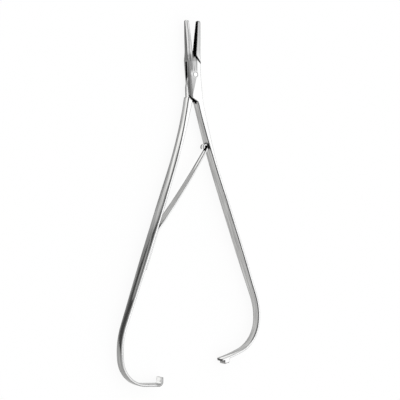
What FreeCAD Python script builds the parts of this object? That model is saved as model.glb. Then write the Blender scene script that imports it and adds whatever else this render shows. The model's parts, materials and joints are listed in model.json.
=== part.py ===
import FreeCAD, Part
import math
import os

import Sketcher
from FreeCAD import Rotation, Vector

# Surgical needle holder with a box lock, two bowed palm handles and a leaf spring.
# It lies flat on its back: jaws towards +Y, front towards +Z, left handle towards -X.
# Both halves are drawn as they lie with the jaws shut, about the pivot at the origin, and
# each body is then turned by half the opening, so the rest position is the open one.
# A reach is a distance from the pivot along Y, and an across is one along X.

# Opening of the instrument at rest, in degrees either side of the middle line
HALF_OPENING = 5.6

# Gaps left between the pieces
CLOSED_JAW_GAP = 0.08
RUNNING_CLEARANCE = 0.05
SEAT_CLEARANCE = 0.02
LOCK_CLEARANCE = 0.15

# Jaws
JAW_REACH = 29.8
JAW_TIP_WIDTH = 2.1
JAW_TIP_ROUNDING = 1.0
JAW_TIP_RELIEF = 0.4
JAW_TIP_DEPTH = 2.0
JAW_MIDDLE_REACH = 21
JAW_MIDDLE_DEPTH = 3.1
JAW_ROOT_REACH = 13.4
JAW_ROOT_WIDTH = 2.95
JAW_ROOT_DEPTH = 3.8
JAW_OUTER_RADIUS = 40
JAW_SHOULDER_WIDTH = 3.5
JAW_BEVEL = 0.5
TOOTH_PITCH = 0.8
TOOTH_CREST = 0.1
TOOTH_DEPTH = 0.18
TOOTHED_LENGTH = 16

# Box lock
BOX_DEPTH = 5.3
BOX_TOP_REACH = 7.0
BOX_TOP_ACROSS = 3.6
BOX_LEFT = 4.05
BOX_LEFT_REACH = 10.9
BOX_FOOT_ACROSS = 3.3
BOX_FOOT_REACH = 12.3
BOX_BOTTOM_REACH = 14.7
BOX_RIGHT = 3.5
BOX_SIDE_RADIUS = 40
BOX_BEVEL_WIDTH = 1.1
BOX_BEVEL_DEPTH = 1.2
CROTCH_ACROSS = 0.28
JAW_CROTCH_REACH = 10.6
CROTCH_NOTCH_REACH = 9.1
CROTCH_NOTCH_ACROSS = 0.75
CHEEK_CORNER_ACROSS = 4.04
CHEEK_CORNER_REACH = 5.7
CHEEK_CORNER_RADIUS = 0.3
SLOT_DEPTH = 1.6
SLOT_PLAY = 0.3
TONGUE_WALL = 1.1
TONGUE_TOP_ACROSS = 1.6
TONGUE_SIDE_ACROSS = 3.35
TONGUE_SIDE_REACH = 1.6
TONGUE_BULGE_ACROSS = 3.8
TONGUE_BULGE_REACH = 7.5
TONGUE_SIDE_RADIUS = 6
PIN_RADIUS = 1.3
PIN_DOME = 0.12

# Side view of both halves: the slopes between the jaws, the lock and the handles
JAW_SWELL_RADIUS = 60
JAW_FLARE_REACH = 11.9
JAW_FLARE_RADIUS = 15
LOCK_TOP_RADIUS = 6
LOCK_FOOT_RISE = 2
LOCK_FOOT_RADIUS = 12
NECK_FALL = 5
NECK_SIDE_RADIUS = 60
SWELL_SIDE_RADIUS = 700
FALL_SIDE_RADIUS = 350

# Handles
RIGHT_NECK_ACROSS = 3.5
RIGHT_NECK_REACH = 13
RIGHT_NECK_LEAN = 8.6
RIGHT_NECK_LENGTH = 27
RIGHT_BOW_RADIUS = 160
LEFT_NECK_ACROSS = 3.15
LEFT_NECK_LEAN = 4
LEFT_BOW_RADIUS = 219
HANDLE_LEAN = 14.9
HANDLE_THICKNESS = 1.5
HANDLE_ROOT_DEPTH = 4.8
HANDLE_DEPTH = 6.95
HANDLE_END_DEPTH = 5.0
WIDEST_FROM = 72
WIDEST_TO = 102
END_DEPTH_FROM = 140
EDGE_BEVEL = 0.3

# Curl of the right handle
RIGHT_HANDLE_REACH = 157.6725
RIGHT_HIP_RADIUS = 33
RIGHT_HIP_TURN = 26.3
RIGHT_CURL_RADIUS = 19
RIGHT_CURL_TURN = 63.6
RIGHT_END_RADIUS = 84
RIGHT_END_TURN = 10

# Curl of the left handle, its flat foot and the upturned catch lip
LEFT_HANDLE_REACH = 167.9655
LEFT_HIP_RADIUS = 39
LEFT_HIP_TURN = 27.8
LEFT_CURL_RADIUS = 16.1
LEFT_CURL_TURN = 77.1
LEFT_FOOT_LENGTH = 8.6
LIP_BEND_RADIUS = 2.4
LIP_BEND_TURN = 95
LIP_LENGTH = 2.3

# Ratchet teeth under the end of the right handle
RATCHET_INSET = 1.5
RATCHET_PITCH = 1.05
RATCHET_COUNT = 3
RATCHET_HEIGHT = 2.0
RATCHET_TOOTH = 0.6

# Leaf spring, the recess that its rolled end bears in, and its screw
LEAF_THICKNESS = 0.85
LEAF_ROOT_DEPTH = 5.6
LEAF_ROOT_FLARE = 0.5
LEAF_END_DEPTH = 2.95
LEAF_END_FLARE = 0.15
LEAF_END_LENGTH = 4
LEAF_SIDE_RADIUS = 20
LEAF_TAIL = 20
LEAF_BEND_REACH = 87.5
LEAF_BEND_LENGTH = 6
LEAF_BEND_RADIUS = 10
LEAF_BOW_RADIUS = 450
HOOK_RADIUS = 1.75
HOOK_TURN = 250
HOOK_ACROSS = 3.72
HOOK_REACH = 39.55
RECESS_WIDTH = 4.15
RECESS_TOP = 2.4
RECESS_LENGTH = 7
RECESS_CLEARANCE = 0.06
SCREW_SHANK_RADIUS = 0.9
SCREW_HEAD_RADIUS = 1.6
SCREW_HEAD_HEIGHT = 0.8
SCREW_SLOT_WIDTH = 0.4
SCREW_SLOT_DEPTH = 0.35
SCREW_END_COVER = 0.25

SIZES = {name.lower(): value for name, value in dict(globals()).items() if name.isupper()}
DOCUMENT = FreeCAD.newDocument("needle_holder")
SHEET = DOCUMENT.addObject("Spreadsheet::Sheet", "sizes")


def fill_sheet():
    """Write every driving dimension into the sheet, with the shift of the finished instrument."""
    rows = list(SIZES.items()) + [("shift_x", 0), ("shift_y", 0), ("shift_z", 0)]
    for row, (alias, value) in enumerate(rows, 1):
        SHEET.set(f"A{row}", alias)
        SHEET.set(f"B{row}", str(value))
        SHEET.setAlias(f"B{row}", alias)
    DOCUMENT.recompute()


fill_sheet()


def heading_vector(heading):
    """Unit vector of a route: 0 degrees runs towards -Y, positive leans towards +X."""
    turn = math.radians(heading)
    return Vector(math.sin(turn), -math.cos(turn), 0)


def side_vector(heading):
    """Unit vector to the outer side of a route."""
    turn = math.radians(heading)
    return Vector(math.cos(turn), math.sin(turn), 0)


class Route:
    """A chain of tangent lines and arcs, drawn from its outer side."""

    def __init__(self, start, heading):
        self.stations = [(start, heading)]
        self.pieces = []

    def line(self, length):
        point, heading = self.stations[-1]
        self.pieces.append(None)
        self.stations.append((point + heading_vector(heading) * length, heading))
        return self

    def arc(self, radius, turn):
        """Turn by so many degrees: positive outward, negative inward."""
        point, heading = self.stations[-1]
        side = 1 if turn > 0 else -1
        centre = point + side_vector(heading) * radius * side
        self.pieces.append((centre, radius, side, heading + turn / 2))
        end = centre - side_vector(heading + turn) * radius * side
        self.stations.append((end, heading + turn))
        return self

    def line_then_arcs(self, reach, arcs):
        """A line long enough for the arcs after it to end at the given reach."""
        point, heading = self.stations[-1]
        probe = Route(point, heading)
        for radius, turn in arcs:
            probe.arc(radius, turn)
        left_over = probe.stations[-1][0].y + reach
        self.line(left_over / math.cos(math.radians(heading)))
        for radius, turn in arcs:
            self.arc(radius, turn)
        return self

    def curves(self, inset=0.0):
        """Lines and arcs of the route, moved inward by the inset."""
        points = [p - side_vector(h) * inset for p, h in self.stations]
        found = []
        for index, piece in enumerate(self.pieces):
            first, last = points[index], points[index + 1]
            if piece is None:
                found.append(Part.LineSegment(first, last))
            else:
                centre, radius, side, middle = piece
                reach = radius + inset * side
                found.append(Part.Arc(first, centre - side_vector(middle) * reach * side, last))
        return found

    def end(self, inset=0.0):
        point, heading = self.stations[-1]
        return point - side_vector(heading) * inset


def flip(point):
    """The same point on the other side of the middle line."""
    return Vector(-point.x, point.y, 0)


def same(point):
    return point


def redraw(curve, move, backwards):
    """The curve with its points moved, drawn from the other end if backwards."""
    ends = [move(curve.StartPoint), move(curve.EndPoint)]
    if backwards:
        ends.reverse()
    if isinstance(curve, Part.LineSegment):
        return Part.LineSegment(*ends)
    middle = curve.value((curve.FirstParameter + curve.LastParameter) / 2)
    return Part.Arc(ends[0], move(middle), ends[1])


def mirrored(curves):
    """The same curves on the other side of the middle line."""
    return [redraw(curve, flip, False) for curve in curves]


def reversed_order(curves):
    """The curves in the opposite order, each drawn backwards."""
    return [redraw(curve, same, True) for curve in reversed(curves)]


def rounded(corners):
    """A run of lines through the corners, with a tangent arc at each one that has a radius."""
    found = []
    last = Vector(corners[0][0], corners[0][1], 0)
    for before, here, after in zip(corners, corners[1:], corners[2:]):
        corner = Vector(here[0], here[1], 0)
        to_last = (Vector(before[0], before[1], 0) - corner).normalize()
        to_next = (Vector(after[0], after[1], 0) - corner).normalize()
        straight = math.isclose(to_last.dot(to_next), -1)
        if len(here) == 2 or straight:
            found.append(Part.LineSegment(last, corner))
            last = corner
            continue
        radius = here[2]
        half = to_last.getAngle(to_next) / 2
        reach = radius / math.tan(half)
        outward = (to_last + to_next).normalize()
        nearest = corner + outward * (radius / math.sin(half) - radius)
        found.append(Part.LineSegment(last, corner + to_last * reach))
        last = corner + to_next * reach
        found.append(Part.Arc(corner + to_last * reach, nearest, last))
    found.append(Part.LineSegment(last, Vector(corners[-1][0], corners[-1][1], 0)))
    return found


def plane(body, role):
    """One of the body's own origin planes."""
    return next(f for f in body.Origin.OriginFeatures if f.Role == role)


def sketch(body, name, role, *wires):
    """A sketch on one of the body's planes, holding closed wires of lines and arcs."""
    drawn = body.newObject("Sketcher::SketchObject", name)
    drawn.AttachmentSupport = [(plane(body, role), "")]
    drawn.MapMode = "FlatFace"
    for wire in wires:
        drawn.addGeometry(wire, False)
    return drawn


def pad(body, name, profile, length):
    """Material to both sides of the sketch's plane."""
    made = body.newObject("PartDesign::Pad", name)
    made.Profile = profile
    made.SideType = "Symmetric"
    made.setExpression("Length", length)
    return made


def cut(body, name, profile, length=None):
    """A pocket to both sides of the sketch's plane, right through if no length is given."""
    made = body.newObject("PartDesign::Pocket", name)
    made.Profile = profile
    made.SideType = "Symmetric"
    if length is None:
        made.Type = "ThroughAll"
    else:
        made.setExpression("Length", length)
    return made


def circle(body, name, radius):
    """A sketch of one circle about the pivot, its radius bound to the sheet."""
    drawn = sketch(body, name, "XY_Plane")
    drawn.addGeometry(Part.Circle(Vector(), Vector(0, 0, 1), 1), False)
    drawn.addConstraint([Sketcher.Constraint("Coincident", 0, 3, -1, 1)])
    index = drawn.addConstraint(Sketcher.Constraint("Radius", 0, 1))
    drawn.setExpression(f"Constraints[{index}]", radius)
    return drawn


def place(body, turn):
    """Turn a body about the pivot and shift it to the instrument's own frame."""
    body.Placement = FreeCAD.Placement(Vector(), Rotation(Vector(0, 0, 1), 1))
    body.setExpression("Placement.Rotation.Angle", turn)
    for axis in "xyz":
        body.setExpression(f"Placement.Base.{axis}", f"sizes.shift_{axis}")


def beyond():
    """Half the width of a cut that passes right through the blank."""
    return SHEET.box_depth + SHEET.handle_depth + 2 * SHEET.jaw_reach


def gripping_face():
    """Distance of each gripping face from the middle line."""
    return SHEET.closed_jaw_gap / 2


def depth_profile(body, name, waist):
    """Cut the front and back to the side view: thin jaws, deep handles, thinner ends."""
    foot = -SHEET.box_bottom_reach
    half = [
        (SHEET.jaw_reach + beyond(), SHEET.jaw_tip_depth / 2),
        (SHEET.jaw_reach, SHEET.jaw_tip_depth / 2),
        (SHEET.jaw_middle_reach, SHEET.jaw_middle_depth / 2, SHEET.jaw_swell_radius),
        (SHEET.jaw_flare_reach, SHEET.jaw_root_depth / 2, SHEET.jaw_flare_radius),
        (SHEET.box_top_reach, waist / 2, SHEET.lock_top_radius),
        (foot + SHEET.lock_foot_rise, waist / 2, SHEET.lock_foot_radius),
        (foot - SHEET.neck_fall, SHEET.handle_root_depth / 2, SHEET.neck_side_radius),
        (-SHEET.widest_from, SHEET.handle_depth / 2, SHEET.swell_side_radius),
        (-SHEET.widest_to, SHEET.handle_depth / 2, SHEET.fall_side_radius),
        (-SHEET.end_depth_from, SHEET.handle_end_depth / 2, SHEET.fall_side_radius),
        (-SHEET.end_depth_from - beyond(), SHEET.handle_end_depth / 2),
    ]
    wires = []
    for side in (1, -1):
        corners = [(c[0], c[1] * side, *c[2:]) for c in half]
        far = beyond() * side
        corners = [(corners[0][0], far)] + corners + [(corners[-1][0], far), (corners[0][0], far)]
        wires.append(rounded(corners))
    return cut(body, name, sketch(body, name + "_sketch", "YZ_Plane", *wires))


def toothing(body, name, side):
    """Cross grooves in the gripping face of a jaw, from just behind the tip."""
    face = side * gripping_face()
    deep = side * SHEET.tooth_depth
    crest = SHEET.tooth_crest
    grooves = []
    for index in range(int(SHEET.toothed_length / SHEET.tooth_pitch)):
        top = SHEET.jaw_reach - (index + 0.5) * SHEET.tooth_pitch
        bottom = top - SHEET.tooth_pitch + crest
        grooves.append(rounded([
            (face - deep, top), (face, top), (face + deep, (top + bottom) / 2), (face, bottom),
            (face - deep, bottom), (face - deep, top)]))
    return cut(body, name, sketch(body, name + "_sketch", "XY_Plane", *grooves))


def arc_to(start, end, heading):
    """The arc between two points that arrives with the given heading."""
    side = side_vector(heading)
    back = start - end
    reach = back.dot(back) / (2 * back.dot(side))
    centre = end + side * reach
    middle = ((start + end) / 2 - centre).normalize() * abs(reach) + centre
    return Part.Arc(start, middle, end)


def right_route():
    """Outer line of the right handle, from the neck to the end of its curl."""
    start = Vector(SHEET.right_neck_across, -SHEET.right_neck_reach, 0)
    route = Route(start, SHEET.right_neck_lean).line(SHEET.right_neck_length)
    route.arc(SHEET.right_bow_radius, SHEET.handle_lean - SHEET.right_neck_lean)
    route.line_then_arcs(SHEET.right_handle_reach, [
        (SHEET.right_hip_radius, -SHEET.right_hip_turn),
        (SHEET.right_curl_radius, -SHEET.right_curl_turn),
        (SHEET.right_end_radius, -SHEET.right_end_turn)])
    return route


def left_route():
    """Outer line of the left handle, as its mirror image."""
    across = SHEET.left_neck_across
    route = Route(Vector(across, step_height(across), 0), SHEET.left_neck_lean)
    route.arc(SHEET.left_bow_radius, SHEET.handle_lean - SHEET.left_neck_lean)
    route.line_then_arcs(SHEET.left_handle_reach, [
        (SHEET.left_hip_radius, -SHEET.left_hip_turn),
        (SHEET.left_curl_radius, -SHEET.left_curl_turn)])
    route.line(SHEET.left_foot_length)
    route.arc(SHEET.lip_bend_radius, -SHEET.lip_bend_turn)
    route.line(SHEET.lip_length)
    return route


def handle_curves(route, root, neck_pieces):
    """Outer line down, end across and inner line back up to the root point."""
    thickness = SHEET.handle_thickness
    outer = route.curves()
    inner = route.curves(thickness)[neck_pieces:]
    point, heading = route.stations[neck_pieces]
    arrival = point - side_vector(heading) * thickness
    neck = arc_to(root, arrival, heading)
    end = Part.LineSegment(route.end(), route.end(thickness))
    return outer + [end] + reversed_order([neck] + inner)


def cheek_line(across, clearance=0.0):
    """Height of the cheeks' upper slanted end, or of a line clear of it, above."""
    rise = SHEET.jaw_crotch_reach - SHEET.cheek_corner_reach
    fall = rise / (SHEET.cheek_corner_across + gripping_face())
    line = SHEET.jaw_crotch_reach - (across + gripping_face()) * fall
    return line + clearance * math.hypot(1, fall)


def lower_line(across, clearance=0.0):
    """Height of the cheeks' lower slanted end, or of a line clear of it, below."""
    rise = SHEET.box_bottom_reach - SHEET.box_foot_reach
    fall = rise / (SHEET.crotch_across + SHEET.box_foot_across)
    line = -SHEET.box_foot_reach - (across + SHEET.box_foot_across) * fall
    return line - clearance * math.hypot(1, fall)


def step_height(across):
    """Height of the step of the left handle, just clear of the cheeks when shut."""
    return lower_line(-across, SHEET.lock_clearance)


def jaw_corners(side, foot):
    """Outline of a jaw from the foot of its gripping face to its root."""
    face, relief = gripping_face(), SHEET.jaw_tip_relief
    return [
        (side * face, foot),
        (side * face, SHEET.jaw_reach - relief),
        (side * (face + relief), SHEET.jaw_reach),
        (side * SHEET.jaw_tip_width, SHEET.jaw_reach, SHEET.jaw_tip_rounding),
        (side * SHEET.jaw_root_width, SHEET.jaw_root_reach, SHEET.jaw_outer_radius),
    ]


def bevel(body, name, size, wanted):
    """Break the long edges of the blank that are wanted, front and back."""
    base = body.Tip
    edges = []
    for index, edge in enumerate(base.Shape.Edges, 1):
        ends = [v.Point for v in edge.Vertexes]
        level = len(ends) == 2 and abs(ends[0].z - ends[1].z) < SHEET.handle_thickness
        if level and edge.Length > SHEET.handle_thickness and all(wanted(p) for p in ends):
            edges.append(f"Edge{index}")
    made = body.newObject("PartDesign::Chamfer", name)
    made.Base = (base, edges)
    made.setExpression("Size", size)
    return made


def on_handle(point):
    return point.y < -SHEET.box_bottom_reach - SHEET.neck_fall / 2


def on_jaw_side(point):
    wide = abs(point.x) > SHEET.jaw_tip_width - SHEET.jaw_tip_rounding
    return wide and SHEET.jaw_root_reach < point.y < SHEET.jaw_reach


def box_arm():
    """Left jaw, box and right handle: the female half, one forging."""
    body = DOCUMENT.addObject("PartDesign::Body", "box_arm")
    route = right_route()
    root = Vector(SHEET.crotch_across, -SHEET.box_bottom_reach, 0)
    corners = jaw_corners(-1, SHEET.crotch_notch_reach) + [
        (-SHEET.box_top_across, SHEET.box_top_reach, SHEET.box_side_radius),
        (-SHEET.box_left, 0, SHEET.box_side_radius),
        (-SHEET.box_left, -SHEET.box_left_reach),
        (-SHEET.box_foot_across, -SHEET.box_foot_reach),
        (root.x, root.y)]
    start = route.stations[0][0]
    right = [
        (start.x, start.y),
        (SHEET.box_right, 0, SHEET.box_side_radius),
        (SHEET.cheek_corner_across, SHEET.cheek_corner_reach, SHEET.cheek_corner_radius),
        (SHEET.crotch_notch_across, cheek_line(SHEET.crotch_notch_across)),
        corners[0]]
    outline = rounded(corners) + reversed_order(handle_curves(route, root, 2)) + rounded(right)
    pad(body, "box_blank", sketch(body, "box_outline", "XY_Plane", outline),
        "sizes.handle_depth + sizes.box_depth")
    depth_profile(body, "box_side_view", SHEET.box_depth)
    DOCUMENT.recompute()
    bevel(body, "right_handle_edges", "sizes.edge_bevel", on_handle)
    DOCUMENT.recompute()
    bevel(body, "left_jaw_edges", "sizes.jaw_bevel", on_jaw_side)
    box_bevels(body)
    slot(body)
    cut(body, "cheek_bores", circle(body, "cheek_bore", "sizes.pin_radius + sizes.seat_clearance"))
    toothing(body, "left_jaw_teeth", -1)
    ratchet_teeth(body, route)
    recess(body)
    return body


def box_bevels(body):
    """Slanted flats on the left side of both cheeks, running out on the jaw."""
    run, rise = SHEET.box_bevel_width, SHEET.box_bevel_depth
    across, height = -SHEET.box_left, SHEET.box_depth / 2 - SHEET.box_bevel_depth
    wires = []
    for side in (1, -1):
        low = (across - run, side * (height - rise))
        high = (across + 2 * run, side * (height + 2 * rise))
        wires.append(rounded([low, high, (low[0], high[1]), low]))
    cut(body, "box_bevels", sketch(body, "bevel_outline", "XZ_Plane", *wires))


def slot(body):
    """The opening through the box that the tongue swings in, open to the left."""
    top, foot, far = SHEET.box_top_reach, -SHEET.box_bottom_reach, beyond()
    play = SHEET.slot_play
    ceiling = SHEET.jaw_crotch_reach + SHEET.tooth_pitch
    wall = SHEET.pin_radius + SHEET.tongue_wall + play
    floor = foot - SHEET.lock_foot_rise
    outline = rounded([
        (-far, top), (-SHEET.box_left / 2, top), (-2 * play, ceiling), (far, ceiling),
        (far, -2 * play), (wall, -2 * play), (wall, -2 * SHEET.pin_radius),
        (SHEET.crotch_across - play, foot), (SHEET.crotch_across - play, floor),
        (-far, floor), (-far, top)])
    cut(body, "slot", sketch(body, "slot_outline", "XY_Plane", outline), "sizes.slot_depth")


def ratchet_teeth(body, route):
    """Saw teeth on a block under the end of the curl."""
    point, heading = route.stations[-1]
    along, out = heading_vector(heading) * -1, side_vector(heading)
    sink = SHEET.handle_thickness / 2
    steps = [(SHEET.ratchet_inset, -sink)]
    for index in range(int(SHEET.ratchet_count)):
        here = SHEET.ratchet_inset + index * SHEET.ratchet_pitch
        steps.append((here, SHEET.ratchet_height))
        steps.append((here + SHEET.ratchet_pitch, SHEET.ratchet_height - SHEET.ratchet_tooth))
    steps += [(steps[-1][0], -sink), steps[0]]
    corners = [point + along * a + out * b for a, b in steps]
    block = sketch(body, "ratchet_outline", "XY_Plane", rounded([(c.x, c.y) for c in corners]))
    return pad(body, "ratchet", block, "sizes.handle_end_depth")


def recess(body):
    """Round-topped hollow in the inner face of the right handle, where the hook bears."""
    half = SHEET.recess_width / 2
    top = -SHEET.hook_reach + SHEET.recess_top
    foot = top - SHEET.recess_length
    shape = [
        Part.LineSegment(Vector(foot, -half, 0), Vector(top - half, -half, 0)),
        Part.Arc(Vector(top - half, -half, 0), Vector(top, 0, 0), Vector(top - half, half, 0)),
        Part.LineSegment(Vector(top - half, half, 0), Vector(foot, half, 0)),
        Part.LineSegment(Vector(foot, half, 0), Vector(foot, -half, 0)),
    ]
    made = body.newObject("PartDesign::Pocket", "recess")
    made.Profile = sketch(body, "recess_outline", "YZ_Plane", shape)
    made.Reversed = True
    made.setExpression("Length", "sizes.hook_across + sizes.hook_radius + sizes.recess_clearance")
    return made


def tongue_arm():
    """Right jaw, tongue and left handle: the male half, one forging."""
    body = DOCUMENT.addObject("PartDesign::Body", "tongue_arm")
    route = left_route()
    clear = SHEET.lock_clearance
    foot = (gripping_face(), cheek_line(gripping_face(), clear))
    shoulder = (SHEET.jaw_shoulder_width, cheek_line(SHEET.jaw_shoulder_width, clear))
    inner = SHEET.crotch_across + SHEET.seat_clearance
    root = Vector(inner, step_height(inner), 0)

    jaw = rounded(jaw_corners(1, foot[1]) + [shoulder, foot])
    pad(body, "right_jaw", sketch(body, "jaw_outline", "XY_Plane", jaw),
        "sizes.handle_depth + sizes.box_depth")
    swing = tongue_outline(foot, shoulder, root, flip(route.stations[0][0]))
    pad(body, "tongue", sketch(body, "tongue_outline", "XY_Plane", swing),
        "sizes.slot_depth - 2 * sizes.running_clearance")
    outline = mirrored(handle_curves(route, root, 1))
    outline.append(Part.LineSegment(flip(root), flip(route.stations[0][0])))
    pad(body, "left_handle", sketch(body, "handle_outline", "XY_Plane", outline),
        "sizes.handle_depth + sizes.box_depth")
    depth_profile(body, "tongue_side_view", SHEET.handle_root_depth)
    DOCUMENT.recompute()
    bevel(body, "left_handle_edges", "sizes.edge_bevel", on_handle)
    DOCUMENT.recompute()
    bevel(body, "right_jaw_edges", "sizes.jaw_bevel", on_jaw_side)
    cut(body, "pin_bore", circle(body, "tongue_bore", "sizes.pin_radius + sizes.running_clearance"))
    toothing(body, "right_jaw_teeth", 1)
    seat, inward = screw_seat()
    drill(body, "screw_hole", seat, inward * -1,
          "sizes.leaf_thickness + sizes.handle_thickness - sizes.screw_end_cover")
    return body


def tongue_outline(foot, shoulder, root, neck):
    """Thin middle of the male half, sunk into the jaw above and the handle below."""
    sink = SHEET.handle_thickness / 2
    wall = SHEET.pin_radius + SHEET.tongue_wall
    side = SHEET.tongue_side_radius
    return rounded([
        (foot[0], foot[1] + sink),
        (shoulder[0] - sink, shoulder[1] + sink),
        (shoulder[0] - sink, shoulder[1] - SHEET.lock_clearance),
        (wall, SHEET.pin_radius, SHEET.pin_radius),
        (wall, -SHEET.pin_radius, SHEET.pin_radius),
        (-root.x, root.y),
        (-root.x - sink, root.y - sink),
        (neck.x + sink, neck.y - sink),
        (neck.x, neck.y),
        (-SHEET.tongue_bulge_across, -SHEET.tongue_bulge_reach, side),
        (-SHEET.tongue_side_across, -SHEET.tongue_side_reach, side),
        (-SHEET.tongue_top_across, SHEET.box_top_reach, side / 2),
        foot,
        (foot[0], foot[1] + sink)])


def drill(body, name, start, direction, length):
    """A round hole for the shank of the screw."""
    made = body.newObject("PartDesign::SubtractiveCylinder", name)
    made.Placement = FreeCAD.Placement(start, Rotation(Vector(0, 0, 1), direction))
    made.setExpression("Radius", "sizes.screw_shank_radius + sizes.seat_clearance")
    made.setExpression("Height", length)
    return made


def screw_seat():
    """Middle of the leaf's tail on its open face, and the direction away from the handle."""
    start, heading = leaf_start()
    along = heading_vector(heading)
    return start + along * SHEET.leaf_tail / 2, side_vector(heading) * -1


def leaf_start():
    """Lower end of the leaf's open face, lying along the inner face of the left handle."""
    heading = 180 - SHEET.handle_lean
    point = left_route().stations[2][0]
    inward = side_vector(heading) * -1
    surface = flip(point) + inward * (SHEET.handle_thickness + SHEET.leaf_thickness)
    along = heading_vector(heading)
    bend = surface + along * ((-SHEET.leaf_bend_reach - surface.y) / along.y)
    return bend - along * SHEET.leaf_tail, heading


def leaf_route():
    """Open face of the leaf: tail, lift off the handle, shallow bow and rolled hook."""
    start, heading = leaf_start()
    turned = Rotation(Vector(0, 0, 1), 2 * SHEET.half_opening)
    centre = turned.multVec(Vector(SHEET.hook_across, -SHEET.hook_reach, 0))
    bow, hook = SHEET.leaf_bow_radius, SHEET.hook_radius
    low, high = 0.0, 60.0
    for _ in range(50):
        lift = (low + high) / 2
        route = Route(start, heading).line(SHEET.leaf_tail).arc(SHEET.leaf_bend_radius, -lift)
        point, lean = route.stations[-1]
        middle = point + side_vector(lean) * bow
        if (middle - centre).Length > bow - hook:
            low = lift
        else:
            high = lift
    toward = centre - middle
    arrival = math.degrees(math.atan2(-toward.y, -toward.x)) % 360
    route.arc(bow, arrival - lean)
    route.arc(hook, SHEET.hook_turn)
    return route


def leaf_spring():
    """Flat strip, screwed to the left handle, with its free end rolled into a hook."""
    body = DOCUMENT.addObject("PartDesign::Body", "leaf_spring")
    route = leaf_route()
    thick = -SHEET.leaf_thickness
    first, heading = route.stations[0]
    outline = route.curves() + [Part.LineSegment(route.end(), route.end(thick))]
    outline += reversed_order(route.curves(thick))
    outline.append(Part.LineSegment(first - side_vector(heading) * thick, first))
    pad(body, "strip", sketch(body, "strip_outline", "XY_Plane", outline), "sizes.leaf_root_depth")
    wide, narrow = SHEET.leaf_root_depth / 2, SHEET.leaf_end_depth / 2
    bend, hook, far = -SHEET.leaf_bend_reach, -SHEET.hook_reach, beyond()
    wires = []
    for side in (1, -1):
        wires.append(rounded([
            (bend, side * far), (bend, side * (wide + SHEET.leaf_root_flare)),
            (bend + SHEET.leaf_bend_length, side * wide),
            (hook - SHEET.leaf_end_length, side * (narrow + SHEET.leaf_end_flare), SHEET.leaf_side_radius),
            (hook, side * narrow), (far, side * narrow), (far, side * far), (bend, side * far)]))
    cut(body, "taper", sketch(body, "taper_outline", "YZ_Plane", *wires))
    seat, inward = screw_seat()
    drill(body, "leaf_hole", seat + inward * SHEET.leaf_thickness, inward * -1, "sizes.leaf_thickness * 3")
    return body


def pivot_pin():
    """Riveted pin of the box lock, its two ends dressed to a low dome."""
    body = DOCUMENT.addObject("PartDesign::Body", "pivot_pin")
    shank = pad(body, "shank", circle(body, "pin_circle", "sizes.pin_radius"),
                "sizes.box_depth + 2 * sizes.pin_dome")
    DOCUMENT.recompute()
    rims = [f"Edge{i}" for i, e in enumerate(shank.Shape.Edges, 1) if len(e.Vertexes) == 1]
    dome = body.newObject("PartDesign::Chamfer", "domed_ends")
    dome.Base = (shank, rims)
    dome.setExpression("Size", "sizes.pin_dome")
    return body


def spring_screw():
    """Slotted cheese-head screw, its head on the leaf and its shank in the left handle."""
    reach = ("sizes.leaf_thickness + sizes.handle_thickness"
             " - sizes.screw_end_cover - sizes.seat_clearance")
    shank = DOCUMENT.addObject("Part::Cylinder", "screw_shank")
    shank.setExpression("Radius", "sizes.screw_shank_radius")
    shank.setExpression("Height", reach)
    shank.setExpression("Placement.Base.z", "-(" + reach + ")")
    head = DOCUMENT.addObject("Part::Cylinder", "screw_head")
    head.setExpression("Radius", "sizes.screw_head_radius")
    head.setExpression("Height", "sizes.screw_head_height")
    blank = DOCUMENT.addObject("Part::Fuse", "screw_blank")
    blank.Base = head
    blank.Tool = shank
    groove = DOCUMENT.addObject("Part::Box", "screw_groove")
    groove.setExpression("Length", "sizes.screw_head_radius * 3")
    groove.setExpression("Width", "sizes.screw_slot_width")
    groove.setExpression("Height", "sizes.screw_head_height")
    groove.setExpression("Placement.Base.x", "-sizes.screw_head_radius * 1.5")
    groove.setExpression("Placement.Base.y", "-sizes.screw_slot_width / 2")
    groove.setExpression("Placement.Base.z", "sizes.screw_head_height - sizes.screw_slot_depth")
    screw = DOCUMENT.addObject("Part::Cut", "spring_screw")
    screw.Base = blank
    screw.Tool = groove
    return screw


def seat_screw(screw, shift):
    """Stand the screw on the leaf, square to it."""
    seat, inward = screw_seat()
    swing = Rotation(Vector(0, 0, 1), -SHEET.half_opening)
    turn = swing.multiply(Rotation(Vector(0, 0, 1), inward))
    screw.Placement = FreeCAD.Placement(swing.multVec(seat) + shift, turn)


def centre_instrument(parts, screw):
    """Put the origin under the middle of the whole instrument."""
    seat_screw(screw, Vector())
    DOCUMENT.recompute()
    whole = Part.makeCompound([part.Shape for part in parts]).optimalBoundingBox(False)
    shift = Vector(-whole.Center.x, -whole.Center.y, -whole.ZMin)
    for axis, value in zip("xyz", shift):
        SHEET.set(f"shift_{axis}", repr(value))
    seat_screw(screw, shift)
    DOCUMENT.recompute()
    print("pivot", [round(value, 3) for value in shift])


def write_parts(parts):
    """Check every object and write each piece to its own file."""
    for item in DOCUMENT.Objects:
        if "Invalid" in item.State or "Error" in item.State:
            raise RuntimeError(f"{item.Name} failed: {item.State}")
    os.makedirs("parts", exist_ok=True)
    for part in parts:
        if part.Shape.isNull() or not part.Shape.isValid() or len(part.Shape.Solids) != 1:
            raise RuntimeError(f"{part.Label} is not one sound solid")
        part.Shape.exportStep(f"parts/{part.Label}.step")
        print(part.Label, round(part.Shape.Volume, 2))


def build():
    """Make the five pieces, open the instrument and write it."""
    halves = {box_arm(): "sizes.half_opening", tongue_arm(): "-sizes.half_opening"}
    halves[pivot_pin()] = "sizes.half_opening"
    halves[leaf_spring()] = "-sizes.half_opening"
    for body, turn in halves.items():
        place(body, turn)
    screw = spring_screw()
    parts = [*halves, screw]
    for part in parts:
        part.Label = part.Name
    centre_instrument(parts, screw)
    write_parts(parts)


build()
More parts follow.
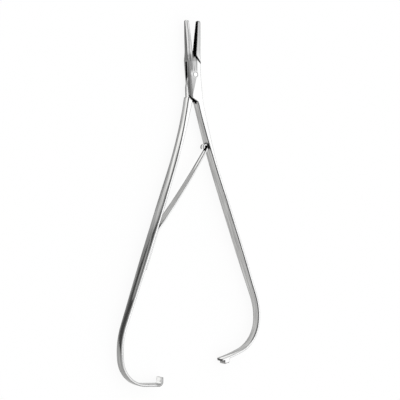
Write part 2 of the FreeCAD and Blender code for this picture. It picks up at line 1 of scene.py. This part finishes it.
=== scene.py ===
import math
import json
import bmesh
import bpy
from mathutils import Matrix, Vector


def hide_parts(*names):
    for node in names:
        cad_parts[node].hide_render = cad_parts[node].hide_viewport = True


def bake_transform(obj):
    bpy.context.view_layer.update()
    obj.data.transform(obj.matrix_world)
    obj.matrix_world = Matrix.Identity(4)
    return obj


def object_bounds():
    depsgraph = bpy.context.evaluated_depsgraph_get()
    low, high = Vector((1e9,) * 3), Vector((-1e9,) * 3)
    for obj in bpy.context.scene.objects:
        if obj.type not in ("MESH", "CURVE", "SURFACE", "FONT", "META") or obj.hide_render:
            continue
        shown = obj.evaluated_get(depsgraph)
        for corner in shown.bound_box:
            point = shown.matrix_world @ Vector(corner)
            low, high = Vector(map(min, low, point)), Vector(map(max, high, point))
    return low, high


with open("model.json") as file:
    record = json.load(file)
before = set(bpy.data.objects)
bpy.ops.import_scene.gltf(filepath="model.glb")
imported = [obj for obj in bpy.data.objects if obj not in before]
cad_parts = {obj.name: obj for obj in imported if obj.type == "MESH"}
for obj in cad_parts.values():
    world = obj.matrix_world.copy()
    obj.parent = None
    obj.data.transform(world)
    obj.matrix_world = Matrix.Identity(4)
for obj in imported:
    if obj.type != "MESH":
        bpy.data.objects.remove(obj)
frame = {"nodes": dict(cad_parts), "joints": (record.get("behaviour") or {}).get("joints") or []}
CAD_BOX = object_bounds()
SCENE = bpy.context.scene
NODES = frame["nodes"]
JOINT = frame["joints"][0]
PIVOT = Vector(JOINT["pos_m"])
MIDDLE = Vector((PIVOT.x, PIVOT.y, (CAD_BOX[0].z + CAD_BOX[1].z) / 2))
HALF_DEPTH = (CAD_BOX[1].z - CAD_BOX[0].z) / 2

# Sizes and places are in metres, and places on the instrument are measured from the pivot.
# A pair of values says where a soft change or a stretch starts and ends, or the tones there.

# The camera looks down on the instrument from its left, level with its length
CAMERA_TILT = math.radians(35)
CAMERA_ROLL = math.radians(0.5)
CAMERA_DISTANCE = 0.600
CAMERA_AIM = Vector((0.00426, -0.06787, 0))
CAMERA_REACH = (0.01, 20)
FOCAL_PIXELS = 1100.9
PICTURE_PIXELS = 400
SENSOR = 36.0

# The studio: a bright sky, a dark room low on the left, and white paper
SKY = 1.28
ROOM = 0.18
ROOM_FROM_RIGHT = (-0.15, -0.5)
ROOM_FROM_ABOVE = (0.85, 0.66)
PAPER = 0.95
PAPER_GLOW = 1.0
PAPER_GLOW_SHARE = 0.90
PAPER_HALF = 2.0
PAPER_DROP = 0.0002

# Stretches that both halves of the instrument share
JAWS_FROM = 0.0095
JAW_TONE_FROM = (JAWS_FROM - 0.002, JAWS_FROM + 0.004)
GRIP_FROM = (JAWS_FROM - 0.001, JAWS_FROM)
SHOULDER = (-0.0158, -0.0095)
PALM_BELOW_PIVOT = 0.100
PALM_CENTRE = Vector((PIVOT.x, PIVOT.y - PALM_BELOW_PIVOT, 0))

# The leaf spring runs from the bend on the left handle to its rolled end in the right one
LEAF_BEND = Vector((-0.0240, -0.0170, MIDDLE.z))
LEAF_HOOK = Vector((0.0097, 0.0294, MIDDLE.z))
LEAF_CUTS = 24
CUT_REACH = 1e-7

# Tones are base colours, from 0 for black to 1 for white. All are cut off at BRIGHTEST, so that
# a tone above 1, a painted highlight, stays white where painted edge shade crosses it.
FRONT_TONE = 0.84
BRIGHTEST = 0.95
BLACKEST = 0.004

NOISE_ROUGHNESS = 0.55


def grey(level):
    return (level, level, level, 1)


class Nodes:
    """Short calls for building a node tree. Inputs are plain values or output sockets."""

    def __init__(self, tree):
        self.tree = tree
        tree.nodes.clear()

    def add(self, kind, inputs=None, **settings):
        made = self.tree.nodes.new(kind)
        for name, value in settings.items():
            setattr(made, name, value)
        for socket, value in (inputs or {}).items():
            if isinstance(value, bpy.types.NodeSocket):
                self.tree.links.new(value, made.inputs[socket])
            else:
                made.inputs[socket].default_value = value
        return made

    def math(self, operation, *values):
        return self.add("ShaderNodeMath", dict(enumerate(values)), operation=operation).outputs[0]

    def vector(self, operation, *values, output=0):
        made = self.add("ShaderNodeVectorMath", dict(enumerate(values)), operation=operation)
        return made.outputs[output]

    def chain(self, operation, values):
        result = values[0]
        for value in values[1:]:
            result = self.math(operation, result, value)
        return result

    def times(self, *values):
        """Product of all the values."""
        return self.chain("MULTIPLY", values)

    def plus(self, *values):
        """Sum of all the values."""
        return self.chain("ADD", values)

    def largest(self, *values):
        """The largest of all the values."""
        return self.chain("MAXIMUM", values)

    def ramp(self, value, low, high, start=0.0, end=1.0):
        """Smooth step of a value from low to high."""
        inputs = {"Value": value, 1: low, 2: high, 3: start, 4: end}
        made = self.add("ShaderNodeMapRange", inputs, interpolation_type="SMOOTHSTEP")
        return made.outputs[0]

    def blend(self, share, first, second):
        return self.add("ShaderNodeMix", {0: share, 2: first, 3: second}).outputs[0]

    def parts(self, vector):
        return self.add("ShaderNodeSeparateXYZ", {0: vector}).outputs

    def turn(self, normal, start, end):
        """A normal in another space."""
        settings = {"vector_type": "NORMAL", "convert_from": start, "convert_to": end}
        return self.add("ShaderNodeVectorTransform", {0: normal}, **settings).outputs[0]

    def noise(self, place, scale, detail):
        stretched = self.vector("MULTIPLY", place, scale)
        inputs = {"Vector": stretched, "Scale": 1.0, "Detail": detail, "Roughness": NOISE_ROUGHNESS}
        return self.add("ShaderNodeTexNoise", inputs).outputs[0]


# Which way a face looks: to the front or sideways, up a bevel, and inward or outward. The
# normals of the outer sides lean by CROWN at their edges.
FRONT_TO_SIDE = (0.85, 0.45)
BEVEL_RISE = (0.50, 0.60)
BEVEL_FALL = (0.88, 0.78)
INWARD_TO_OUTWARD = (-0.001, 0.001)
CROWN = 0.50

# How softly a stretch or a round place ends
BAND_BLUR = 0.0004
ROUND_BLUR = 0.0002


class Spot:
    """Where a shaded point lies on its piece, and which way it faces there."""

    def __init__(self, nodes):
        coordinates = nodes.add("ShaderNodeTexCoord")
        self.nodes = nodes
        self.place = coordinates.outputs["Object"]
        self.normal = coordinates.outputs["Normal"]
        self.x, self.y, self.z = nodes.parts(nodes.vector("SUBTRACT", self.place, tuple(MIDDLE)))
        self.nx, self.ny, self.nz = nodes.parts(self.normal)
        self.is_side = nodes.ramp(nodes.math("ABSOLUTE", self.nz), *FRONT_TO_SIDE)
        self.is_front = nodes.math("SUBTRACT", 1.0, self.is_side)
        self.across = nodes.math("DIVIDE", self.z, HALF_DEPTH)
        facing = self.faces_away(PALM_CENTRE)
        self.is_outer = nodes.times(nodes.ramp(facing, *INWARD_TO_OUTWARD), self.is_side)
        self.crown = nodes.times(self.across, CROWN, self.is_outer)
        self.bevel = nodes.times(nodes.ramp(self.nz, *BEVEL_RISE), nodes.ramp(self.nz, *BEVEL_FALL))

    def faces_away(self, centre):
        """Above 0 where the face looks away from a place, below 0 where it looks towards it."""
        outward = self.nodes.vector("SUBTRACT", self.place, tuple(centre))
        return self.nodes.vector("DOT_PRODUCT", outward, self.normal, output=1)

    def band(self, low, high):
        """1 between two places along the instrument."""
        above = self.nodes.ramp(self.y, low - BAND_BLUR, low + BAND_BLUR)
        below = self.nodes.ramp(self.y, high + BAND_BLUR, high - BAND_BLUR)
        return self.nodes.times(above, below)

    def stripe(self, rise, fall):
        """1 in a lengthwise stripe of a side, between two places across its depth."""
        return self.nodes.times(self.nodes.ramp(self.across, *rise), self.nodes.ramp(self.across, *fall))

    def near(self, centre, radius):
        """1 within a radius of an upright axis."""
        flat = self.nodes.vector("MULTIPLY", self.place, (1, 1, 0))
        away = self.nodes.vector("DISTANCE", flat, (centre.x, centre.y, 0), output=1)
        return self.nodes.ramp(away, radius + ROUND_BLUR, radius - ROUND_BLUR)


# Painted shade along the softened edges: thin grey lines, darker to the left, that stand in for
# the dark room reflected there. How wide they are, how far the softened normal turns there, and
# how much they darken the front and the sides
EDGE_WIDTH = 0.00070
EDGE_SAMPLES = 6
FRONT_TURN = (0.05, 0.28)
SIDE_TURN = (0.06, 0.34)
FACES_LEFT_TO_RIGHT = (-0.05, 0.25)
FRONT_DARKENING = (0.75, 0.45)
SIDE_DARKENING = 0.62


def painted_edge_shade(nodes, spot):
    """Share of painted shade at the softened edges: strong to the left, faint to the right."""
    bevel = nodes.add("ShaderNodeBevel", {"Radius": EDGE_WIDTH}, samples=EDGE_SAMPLES).outputs[0]
    x, y, z = nodes.parts(nodes.turn(bevel, "WORLD", "OBJECT"))
    sideways = nodes.math("SQRT", nodes.plus(nodes.times(x, x), nodes.times(y, y)))
    strength = nodes.ramp(x, *FACES_LEFT_TO_RIGHT, *FRONT_DARKENING)
    on_front = nodes.times(nodes.ramp(sideways, *FRONT_TURN), strength, spot.is_front)
    upright = nodes.math("ABSOLUTE", z)
    on_side = nodes.times(nodes.ramp(upright, *SIDE_TURN), SIDE_DARKENING, spot.is_side)
    return nodes.largest(on_front, on_side)


# Half with the box: tones of its sides, painted shade that stands in for the reflections on them
HANDLE_SIDE = 0.47
CHEEK_SIDE = 0.30
BOX_JAW_SIDE = 0.15
LOCK_FROM = -0.0155
SLOT_TOP = 0.0070
BOX_JAW_FROM = (SLOT_TOP - 0.001, SLOT_TOP + 0.001)

# Before the ratchet the grey of its sides narrows to a point, and the rest is a painted
# highlight, white: the stretch, how far across the grey reaches at either end of it, and how
# softly it ends
END_NARROWS = (-0.1555, -0.1495)
END_GREY_REACH = (-0.15, 0.95)
END_GREY_BLUR = 0.25
END_GREY = 0.30
END_PAINTED_HIGHLIGHT = 1.4

# Its ratchet teeth are dark where they start
TEETH_FROM = -0.1557
TEETH_START = (TEETH_FROM + 0.0003, TEETH_FROM)
TEETH_FADE = (TEETH_FROM - 0.0007, TEETH_FROM - 0.0025)
TEETH_TONES = (0.07, 0.36)


def box_side(nodes, spot):
    """Tone of the sides of the half with the box: painted shade, with a painted highlight before the
    ratchet.
    """
    # Painted shade: the sides are darker on the cheek and darker still on the jaw
    side = nodes.blend(spot.band(LOCK_FROM, SLOT_TOP), HANDLE_SIDE, CHEEK_SIDE)
    side = nodes.blend(nodes.ramp(spot.y, *BOX_JAW_FROM), side, BOX_JAW_SIDE)
    reach = nodes.ramp(spot.y, *END_NARROWS, *END_GREY_REACH)
    # Painted highlight: beyond the grey reach the side is white
    painted_highlight = nodes.ramp(nodes.math("SUBTRACT", spot.across, reach), 0.0, END_GREY_BLUR)
    painted_highlight = nodes.times(painted_highlight, nodes.ramp(spot.y, *reversed(END_NARROWS)))
    side = nodes.blend(nodes.ramp(spot.y, *END_NARROWS), END_GREY, side)
    side = nodes.blend(painted_highlight, side, END_PAINTED_HIGHLIGHT)
    teeth = nodes.ramp(spot.y, *TEETH_FADE, *TEETH_TONES)
    return nodes.blend(nodes.ramp(spot.y, *TEETH_START), side, teeth)


# Ground grey on the front of the box: streaks above the pin, on its left
GROUND_SCALE = (1600, 60, 10)
GROUND_DETAIL = 2.0
GROUND_FROM = (-0.0010, 0.0030)
GROUND_RIGHT = (0.0020, 0.0004)
GROUND_CONTRAST = (0.38, 0.62)
GROUND_TONES = (0.17, 0.56)
GROUND_ON_JAW = 1.45

# And a slanted strip below the pin
SLANT = 0.265
SLANT_RIGHT = (0.0014, 0.0010)
SLANT_TOP = (0.001, -0.001)
SLANT_END = (-0.0160, -0.0140)
SLANT_FADE = (0.0, -0.013)
SLANT_TONES = (0.50, 0.36)

# The light ring round the pin
HALO_RADIUS = 0.0019
HALO_TONE = 0.66

# Painted shade and highlight on the bevels: the bevelled flat down the left of the box, painted
# dark on its left and light on its right, and the jaw's bevel, painted light
FLAT_LEAN = 0.098
FLAT_ACROSS = (-0.0040, -0.0030)
FLAT_SHADE_TO_HIGHLIGHT = (0.22, 1.05)
FLAT_FACES_LEFT = -0.2
FLAT_LIFT = 0.28
JAW_BEVEL_HIGHLIGHT = 1.9
JAW_BEVEL_LIFT = 1.0


def box_front(nodes, spot, jaw, lock):
    """Tone of its front, with painted shade and highlights on its bevels."""
    streaks = nodes.noise(spot.place, GROUND_SCALE, GROUND_DETAIL)
    ground = nodes.ramp(streaks, *GROUND_CONTRAST, *GROUND_TONES)
    ground = nodes.times(ground, nodes.blend(jaw, 1.0, GROUND_ON_JAW))
    upper = nodes.times(nodes.ramp(spot.y, *GROUND_FROM), nodes.ramp(spot.x, *GROUND_RIGHT))
    front = nodes.blend(upper, FRONT_TONE, ground)

    slanted = nodes.math("SUBTRACT", spot.x, nodes.times(spot.y, SLANT))
    lower = nodes.times(nodes.ramp(slanted, *SLANT_RIGHT), nodes.ramp(spot.y, *SLANT_TOP),
                        nodes.ramp(spot.y, *SLANT_END))
    front = nodes.blend(lower, front, nodes.ramp(spot.y, *SLANT_FADE, *SLANT_TONES))
    front = nodes.blend(spot.near(PIVOT, HALO_RADIUS), front, HALO_TONE)

    # Painted shade and highlight across the bevelled flat, and a painted highlight on the jaw's bevel
    leaning = nodes.plus(spot.x, nodes.times(spot.y, FLAT_LEAN))
    flat = nodes.times(spot.bevel, lock, nodes.math("LESS_THAN", spot.nx, FLAT_FACES_LEFT))
    front = nodes.blend(flat, front, nodes.ramp(leaning, *FLAT_ACROSS, *FLAT_SHADE_TO_HIGHLIGHT))
    return nodes.blend(nodes.times(spot.bevel, jaw), front, JAW_BEVEL_HIGHLIGHT)


# Black places of the half with the box: black on the gripping face, and painted shade in the
# slot, on the shoulder and in the leaf's recess
BOX_FACES_TONGUE = (0.5, 0.8)
BOX_FACES_HANDLE = (-0.35, -0.50)
SLOT_HALF_DEPTH = 0.00085
SLOT_WALL = 0.0030
RECESS_RADIUS = 0.0021


def box_black(nodes, spot):
    """Black on its gripping face, and painted shade in the slot, on the shoulder, and in the leaf's
    recess.
    """
    gripping = nodes.times(nodes.ramp(spot.nx, *BOX_FACES_TONGUE), nodes.ramp(spot.y, *GRIP_FROM))
    # Painted shade in the slot, on the shoulder and in the leaf's recess
    slot = nodes.times(nodes.math("LESS_THAN", nodes.math("ABSOLUTE", spot.z), SLOT_HALF_DEPTH),
                       nodes.math("LESS_THAN", spot.x, SLOT_WALL),
                       spot.band(LOCK_FROM, SLOT_TOP))
    shoulder = nodes.times(nodes.ramp(spot.ny, *BOX_FACES_HANDLE), spot.is_side, spot.band(*SHOULDER))
    recess = nodes.times(spot.near(LEAF_HOOK, RECESS_RADIUS), spot.is_side)
    return nodes.largest(gripping, slot, shoulder, recess)


def box_looks(nodes, spot):
    """Looks of the half with the box: see steel for what looks are."""
    jaw = nodes.ramp(spot.y, *JAW_TONE_FROM)
    lock = spot.band(LOCK_FROM, JAWS_FROM)
    lift = nodes.times(spot.bevel, nodes.blend(jaw, nodes.times(lock, FLAT_LIFT), JAW_BEVEL_LIFT))
    front = box_front(nodes, spot, jaw, lock)
    return box_side(nodes, spot), front, box_black(nodes, spot), nodes.plus(spot.crown, lift)


# Half with the tongue: its handle's side has a painted reflection, a light stripe between two grey ones
STRIPE_RISE = (-0.25, 0.05)
STRIPE_FALL = (0.68, 0.42)
STRIPE_REFLECTION_TONES = (0.35, 0.92)

# Beside the box the tongue's side has a painted highlight over a painted shadow line
TONGUE_BESIDE_BOX = (-0.0125, 0.0010)
TONGUE_LINE = (-0.05, 0.12)
TONGUE_SHADOW_TO_HIGHLIGHT = (0.12, 0.92)

# Tones of the jaw, the low part of the handle, the curl, and the catch lip with its white face.
# The jaw's dark side is painted shade, the low part's dark side is a painted reflection of the
# dark room, and the lip's white face is a painted highlight.
TONGUE_JAW_SIDE = 0.20
TONGUE_JAW_FRONT = 0.52
LOW_FROM = (-0.045, -0.090)
LOW_SIDE = 0.29
CURL_FROM = (-0.137, -0.153)
CURL_SIDE = 0.34
CURL_FRONT = 0.70
LIP_FROM = (-0.0267, -0.0257)
LIP_FACES_LEFT = (-0.3, -0.6)
LIP_PAINTED_HIGHLIGHT = 2.5
LIP_FRONT = 0.40


def tongue_side(nodes, spot, jaw, curl, lip):
    """Tone of the sides of the half with the tongue: painted reflections, shade and highlights."""
    # Painted reflection: a light stripe between two grey ones
    side = nodes.blend(spot.stripe(STRIPE_RISE, STRIPE_FALL), *STRIPE_REFLECTION_TONES)
    # Painted highlight over a painted shadow line beside the box
    beside_box = nodes.blend(nodes.ramp(spot.across, *TONGUE_LINE), *TONGUE_SHADOW_TO_HIGHLIGHT)
    side = nodes.blend(spot.band(*TONGUE_BESIDE_BOX), side, beside_box)
    # Painted shade on the jaw's side, and a painted reflection of the dark room on the low part
    side = nodes.blend(jaw, side, TONGUE_JAW_SIDE)
    side = nodes.blend(nodes.ramp(spot.y, *LOW_FROM), side, LOW_SIDE)
    side = nodes.blend(curl, side, CURL_SIDE)
    # Painted highlight on the lip's inner face
    lip_face = nodes.times(lip, nodes.ramp(spot.nx, *LIP_FACES_LEFT))
    return nodes.blend(lip_face, side, LIP_PAINTED_HIGHLIGHT)


# The low part of its handle leans up and reflects the dark room, but for a glint along it
DARK_FROM = (-0.065, -0.105)
DARK_TILT = 0.76
GLINT_FROM = (-0.084, -0.094)
GLINT_UNTIL = (-0.125, -0.115)
GLINT_RISE = (0.15, 0.35)
GLINT_FALL = (0.80, 0.62)
TONGUE_BEVEL_LIFT = 0.8


def tongue_lean(nodes, spot, jaw, curl):
    """How far its normal leans up."""
    glint = nodes.times(nodes.ramp(spot.y, *GLINT_FROM), nodes.ramp(spot.y, *GLINT_UNTIL),
                        spot.stripe(GLINT_RISE, GLINT_FALL))
    dark = nodes.math("SUBTRACT", nodes.ramp(spot.y, *DARK_FROM), curl)
    dark = nodes.times(dark, nodes.math("SUBTRACT", 1.0, glint))
    tilt = nodes.times(dark, DARK_TILT, spot.is_outer)
    lift = nodes.times(spot.bevel, nodes.plus(jaw, curl), TONGUE_BEVEL_LIFT)
    return nodes.plus(spot.crown, tilt, lift)


# Black places of the half with the tongue: black on the gripping face, and painted shade under
# the jaw and on the shoulders
TONGUE_FACES_BOX = (-0.5, -0.8)
TONGUE_FACES_HANDLES = (-0.15, -0.35)
TONGUE_FACES_JAWS = (0.35, 0.50)
JAW_GAP = (0.0045, 0.0130)


def tongue_black(nodes, spot):
    """Black on its gripping face, and painted shade under the jaw and on the shoulders."""
    gripping = nodes.times(nodes.ramp(spot.nx, *TONGUE_FACES_BOX), nodes.ramp(spot.y, *GRIP_FROM))
    falling = nodes.times(nodes.ramp(spot.ny, *TONGUE_FACES_HANDLES), spot.is_side)
    rising = nodes.times(nodes.ramp(spot.ny, *TONGUE_FACES_JAWS), spot.is_side)
    # Painted shade under the jaw and on the shoulders
    gap = nodes.times(falling, spot.band(*JAW_GAP))
    shoulder = nodes.times(nodes.largest(falling, rising), spot.band(*SHOULDER))
    return nodes.largest(gripping, gap, shoulder)


def tongue_looks(nodes, spot):
    """Looks of the half with the tongue."""
    jaw = nodes.ramp(spot.y, *JAW_TONE_FROM)
    curl = nodes.ramp(spot.y, *CURL_FROM)
    lip = nodes.times(nodes.ramp(spot.x, *LIP_FROM), curl)
    front = nodes.blend(curl, nodes.blend(jaw, FRONT_TONE, TONGUE_JAW_FRONT), CURL_FRONT)
    front = nodes.blend(lip, front, LIP_FRONT)
    side = tongue_side(nodes, spot, jaw, curl, lip)
    return side, front, tongue_black(nodes, spot), tongue_lean(nodes, spot, jaw, curl)


# The pin's riveted head has a painted highlight in its middle. The screw is bright all over.
PIN_HIGHLIGHT_RADIUS = 0.0009
PIN_SIDE = 0.62
PIN_TONES = (0.80, 0.95)
SCREW_FRONT = 0.92


def pin_looks(nodes, spot):
    """Looks of the pivot pin, with a painted highlight in the middle of its head."""
    # Painted highlight in the middle of the head
    front = nodes.blend(spot.near(PIVOT, PIN_HIGHLIGHT_RADIUS), *PIN_TONES)
    return PIN_SIDE, front, 0.0, spot.crown


def screw_looks(nodes, spot):
    """Looks of the spring screw."""
    return PIN_SIDE, SCREW_FRONT, 0.0, spot.crown


# The leaf is grey near its root, and further on painted dark with a painted highlight stripe
STRIP_RISE = (-0.16, -0.04)
STRIP_FALL = (0.34, 0.22)
STRIP_SHADE_TO_HIGHLIGHT = (0.20, 0.92)
STRIP_ROOT_SIDE = 0.40
STRIP_ROOT_END = (-0.0530, -0.0470)
ROLL_RADIUS = 0.0019


def strip_looks(nodes, spot):
    """Looks of the leaf spring, whose rolled end is painted black inside as shade."""
    # Painted shade inside the rolled end
    inside = nodes.math("LESS_THAN", spot.faces_away(LEAF_HOOK), 0.0)
    roll = nodes.times(inside, spot.near(LEAF_HOOK, ROLL_RADIUS), spot.is_side)
    # Painted shade with a painted highlight stripe along it
    striped = nodes.blend(spot.stripe(STRIP_RISE, STRIP_FALL), *STRIP_SHADE_TO_HIGHLIGHT)
    side = nodes.blend(nodes.ramp(spot.y, *STRIP_ROOT_END), STRIP_ROOT_SIDE, striped)
    return side, FRONT_TONE, roll, 0.0


# Satin grinding: scale of each noise along x, y and z, its detail, and the range it covers
HAIRLINE_SCALE = (9000, 260, 9000)
HAIRLINE_DETAIL = 3.0
HAIRLINE_RANGE = (0.3, 0.7)
HAIRLINE_TONES = (-0.04, 0.04)
STREAK_SCALE = (90, 60, 1300)
STREAK_DETAIL = 2.0
STREAK_RANGE = (0.35, 0.65)
STREAK_TONES = (0.78, 1.20)
DRIFT_SCALE = (240, 45, 420)
DRIFT_DETAIL = 2.0
DRIFT_RANGE = (0.3, 0.7)
DRIFT_TONES = (0.94, 1.06)
BLOTCH_SCALE = (60, 60, 60)
BLOTCH_DETAIL = 4.0
BLOTCH_RANGE = (0.35, 0.7)
OLIVE = 0.985

# Painted shade: black in the serrations, the slot and every narrow gap, by ambient occlusion
GAP_REACH = 0.0022
GAP_SAMPLES = 8
GAP_OPENNESS = (0.48, 0.20)

# Hairlines as a bump, and how the roughness varies on fronts and sides
BUMP_STRENGTH = 0.12
BUMP_HEIGHT = 0.00002
SMOOTHER = -0.04
ROUGHER = 0.07
SIDE_ROUGHER = 0.10
SIDE_ROUGH_SHARE = 0.6


def ground_tone_and_edge_shade(nodes, spot, tone, hairlines, edges):
    """A tone with its streaks, slow drifts and hairlines, darkened by painted edge shade."""
    streaks = nodes.noise(spot.place, STREAK_SCALE, STREAK_DETAIL)
    drift = nodes.noise(spot.place, DRIFT_SCALE, DRIFT_DETAIL)
    uneven = nodes.blend(spot.is_side, 1.0, nodes.ramp(streaks, *STREAK_RANGE, *STREAK_TONES))
    uneven = nodes.times(uneven, nodes.ramp(drift, *DRIFT_RANGE, *DRIFT_TONES))
    uneven = nodes.plus(uneven, nodes.ramp(hairlines, *HAIRLINE_RANGE, *HAIRLINE_TONES))
    # Painted shade along the softened edges
    lines = nodes.times(painted_edge_shade(nodes, spot), edges)
    uneven = nodes.times(uneven, nodes.math("SUBTRACT", 1.0, lines))
    return nodes.math("MINIMUM", nodes.times(tone, uneven), BRIGHTEST)


def steel(name, looks, roughness, edges=1.0):
    """Stainless steel, with a polished front and back and ground, slightly crowned sides.

    Its looks are the tone of the sides, the tone of the front, the share of black, and how far
    the normal leans up. The tones and the black carry painted light and shade: sides darker than
    the front, painted reflections and highlights, and painted shade in gaps and on shoulders.
    """
    material = bpy.data.materials.new(name)
    material.use_nodes = True
    nodes = Nodes(material.node_tree)
    spot = Spot(nodes)
    side, front, black, lean = looks(nodes, spot)
    hairlines = nodes.noise(spot.place, HAIRLINE_SCALE, HAIRLINE_DETAIL)
    tone = ground_tone_and_edge_shade(nodes, spot, nodes.blend(spot.is_side, front, side), hairlines, edges)

    # Painted shade: narrow gaps turn black by ambient occlusion
    occlusion = nodes.add("ShaderNodeAmbientOcclusion", {"Distance": GAP_REACH}, samples=GAP_SAMPLES)
    black = nodes.largest(black, nodes.ramp(occlusion.outputs["AO"], *GAP_OPENNESS))
    tone = nodes.blend(black, tone, BLACKEST)
    blue = nodes.times(tone, nodes.blend(spot.is_side, 1.0, OLIVE))
    colour = nodes.add("ShaderNodeCombineColor", {0: tone, 1: tone, 2: blue}).outputs[0]

    # The outer sides are crowned: their normal leans to the nearer edge
    upward = nodes.add("ShaderNodeCombineXYZ", {2: lean}).outputs[0]
    leaning = nodes.turn(nodes.vector("ADD", spot.normal, upward), "OBJECT", "WORLD")
    bump = nodes.add("ShaderNodeBump", {
        "Strength": BUMP_STRENGTH, "Distance": BUMP_HEIGHT,
        "Height": hairlines, "Normal": nodes.vector("NORMALIZE", leaning)}).outputs[0]

    blotches = nodes.noise(spot.place, BLOTCH_SCALE, BLOTCH_DETAIL)
    worn = nodes.ramp(blotches, *BLOTCH_RANGE, roughness + SMOOTHER, roughness + ROUGHER)
    side_share = nodes.times(spot.is_side, SIDE_ROUGH_SHARE)
    shader = nodes.add("ShaderNodeBsdfPrincipled", {
        "Base Color": colour, "Metallic": nodes.math("SUBTRACT", 1.0, black),
        "Specular IOR Level": 0.0,
        "Roughness": nodes.blend(side_share, worn, roughness + SIDE_ROUGHER), "Normal": bump})
    nodes.add("ShaderNodeOutputMaterial", {0: shader.outputs[0]})
    return material


def make_camera():
    data = bpy.data.cameras.new("camera")
    camera = bpy.data.objects.new("camera", data)
    SCENE.collection.objects.link(camera)
    data.sensor_width = SENSOR
    data.lens = SENSOR * FOCAL_PIXELS / PICTURE_PIXELS
    lean = math.sin(CAMERA_TILT)
    back = Vector((-lean, lean * math.sin(CAMERA_ROLL), math.cos(CAMERA_TILT))).normalized()
    up = Vector((math.sin(CAMERA_ROLL), math.cos(CAMERA_ROLL), 0))
    up = (up - back * up.dot(back)).normalized()
    right = up.cross(back)
    turn = Matrix((right, up, back)).transposed().to_4x4()
    camera.matrix_world = Matrix.Translation(MIDDLE + CAMERA_AIM + back * CAMERA_DISTANCE) @ turn
    data.clip_start, data.clip_end = CAMERA_REACH
    SCENE.camera = camera


def background_rays(nodes):
    """1 for rays that show the background: the camera's, and those off metal or through glass."""
    path = nodes.add("ShaderNodeLightPath").outputs
    return nodes.largest(path["Is Camera Ray"], path["Is Glossy Ray"], path["Is Transmission Ray"])


def paper_material():
    material = bpy.data.materials.new("white_paper")
    material.use_nodes = True
    nodes = Nodes(material.node_tree)
    share = nodes.times(background_rays(nodes), PAPER_GLOW_SHARE)
    paper = nodes.add("ShaderNodeBsdfDiffuse", {"Color": grey(PAPER)})
    glow = nodes.add("ShaderNodeEmission", {"Color": grey(1.0), "Strength": PAPER_GLOW})
    both = nodes.add("ShaderNodeMixShader", {0: share, 1: paper.outputs[0], 2: glow.outputs[0]})
    nodes.add("ShaderNodeOutputMaterial", {0: both.outputs[0]})
    return material


def make_floor():
    mesh = bpy.data.meshes.new("floor")
    low, high = -PAPER_HALF, PAPER_HALF
    mesh.from_pydata([(low, low, 0), (high, low, 0), (high, high, 0), (low, high, 0)], [], [(0, 1, 2, 3)])
    floor = bpy.data.objects.new("floor", mesh)
    SCENE.collection.objects.link(floor)
    floor.location.z = -PAPER_DROP
    mesh.materials.append(paper_material())


def make_light():
    """Bright overhead and to the right, dark low on the left."""
    world = bpy.data.worlds.new("world")
    SCENE.world = world
    world.use_nodes = True
    nodes = Nodes(world.node_tree)
    way = nodes.parts(nodes.add("ShaderNodeTexCoord").outputs["Generated"])
    room = nodes.times(nodes.ramp(way["X"], *ROOM_FROM_RIGHT), nodes.ramp(way["Z"], *ROOM_FROM_ABOVE))
    strength = nodes.blend(room, SKY, ROOM)
    light = nodes.add("ShaderNodeBackground", {"Color": grey(1.0), "Strength": strength})
    nodes.add("ShaderNodeOutputWorld", {0: light.outputs[0]})


def make_leaf(material):
    """The leaf spring, cut into short lengths along its run from the bend to the rolled end."""
    mesh = NODES["leaf_spring"].data.copy()
    mesh.name = "leaf_strip"
    shape = bmesh.new()
    shape.from_mesh(mesh)
    run = LEAF_HOOK - LEAF_BEND
    for index in range(1, LEAF_CUTS):
        geometry = shape.verts[:] + shape.edges[:] + shape.faces[:]
        bmesh.ops.bisect_plane(shape, geom=geometry, plane_co=LEAF_BEND + run * (index / LEAF_CUTS),
                               plane_no=run.normalized(), dist=CUT_REACH)
    shape.to_mesh(mesh)
    shape.free()
    mesh.materials.clear()
    mesh.materials.append(material)
    leaf = bpy.data.objects.new("leaf_strip", mesh)
    SCENE.collection.objects.link(leaf)
    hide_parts("leaf_spring")
    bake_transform(leaf)


def dress(name, material):
    data = NODES[name].data
    data.materials.clear()
    data.materials.append(material)


make_camera()
make_floor()
make_light()
dress("box_arm", steel("satin_steel_box", box_looks, roughness=0.20))
dress("tongue_arm", steel("satin_steel_tongue", tongue_looks, roughness=0.20))
dress("pivot_pin", steel("bright_steel_pin", pin_looks, roughness=0.14, edges=0.2))
dress("spring_screw", steel("bright_steel_screw", screw_looks, roughness=0.14))
make_leaf(steel("strip_steel", strip_looks, roughness=0.22))

SCENE.view_settings.view_transform = "Standard"
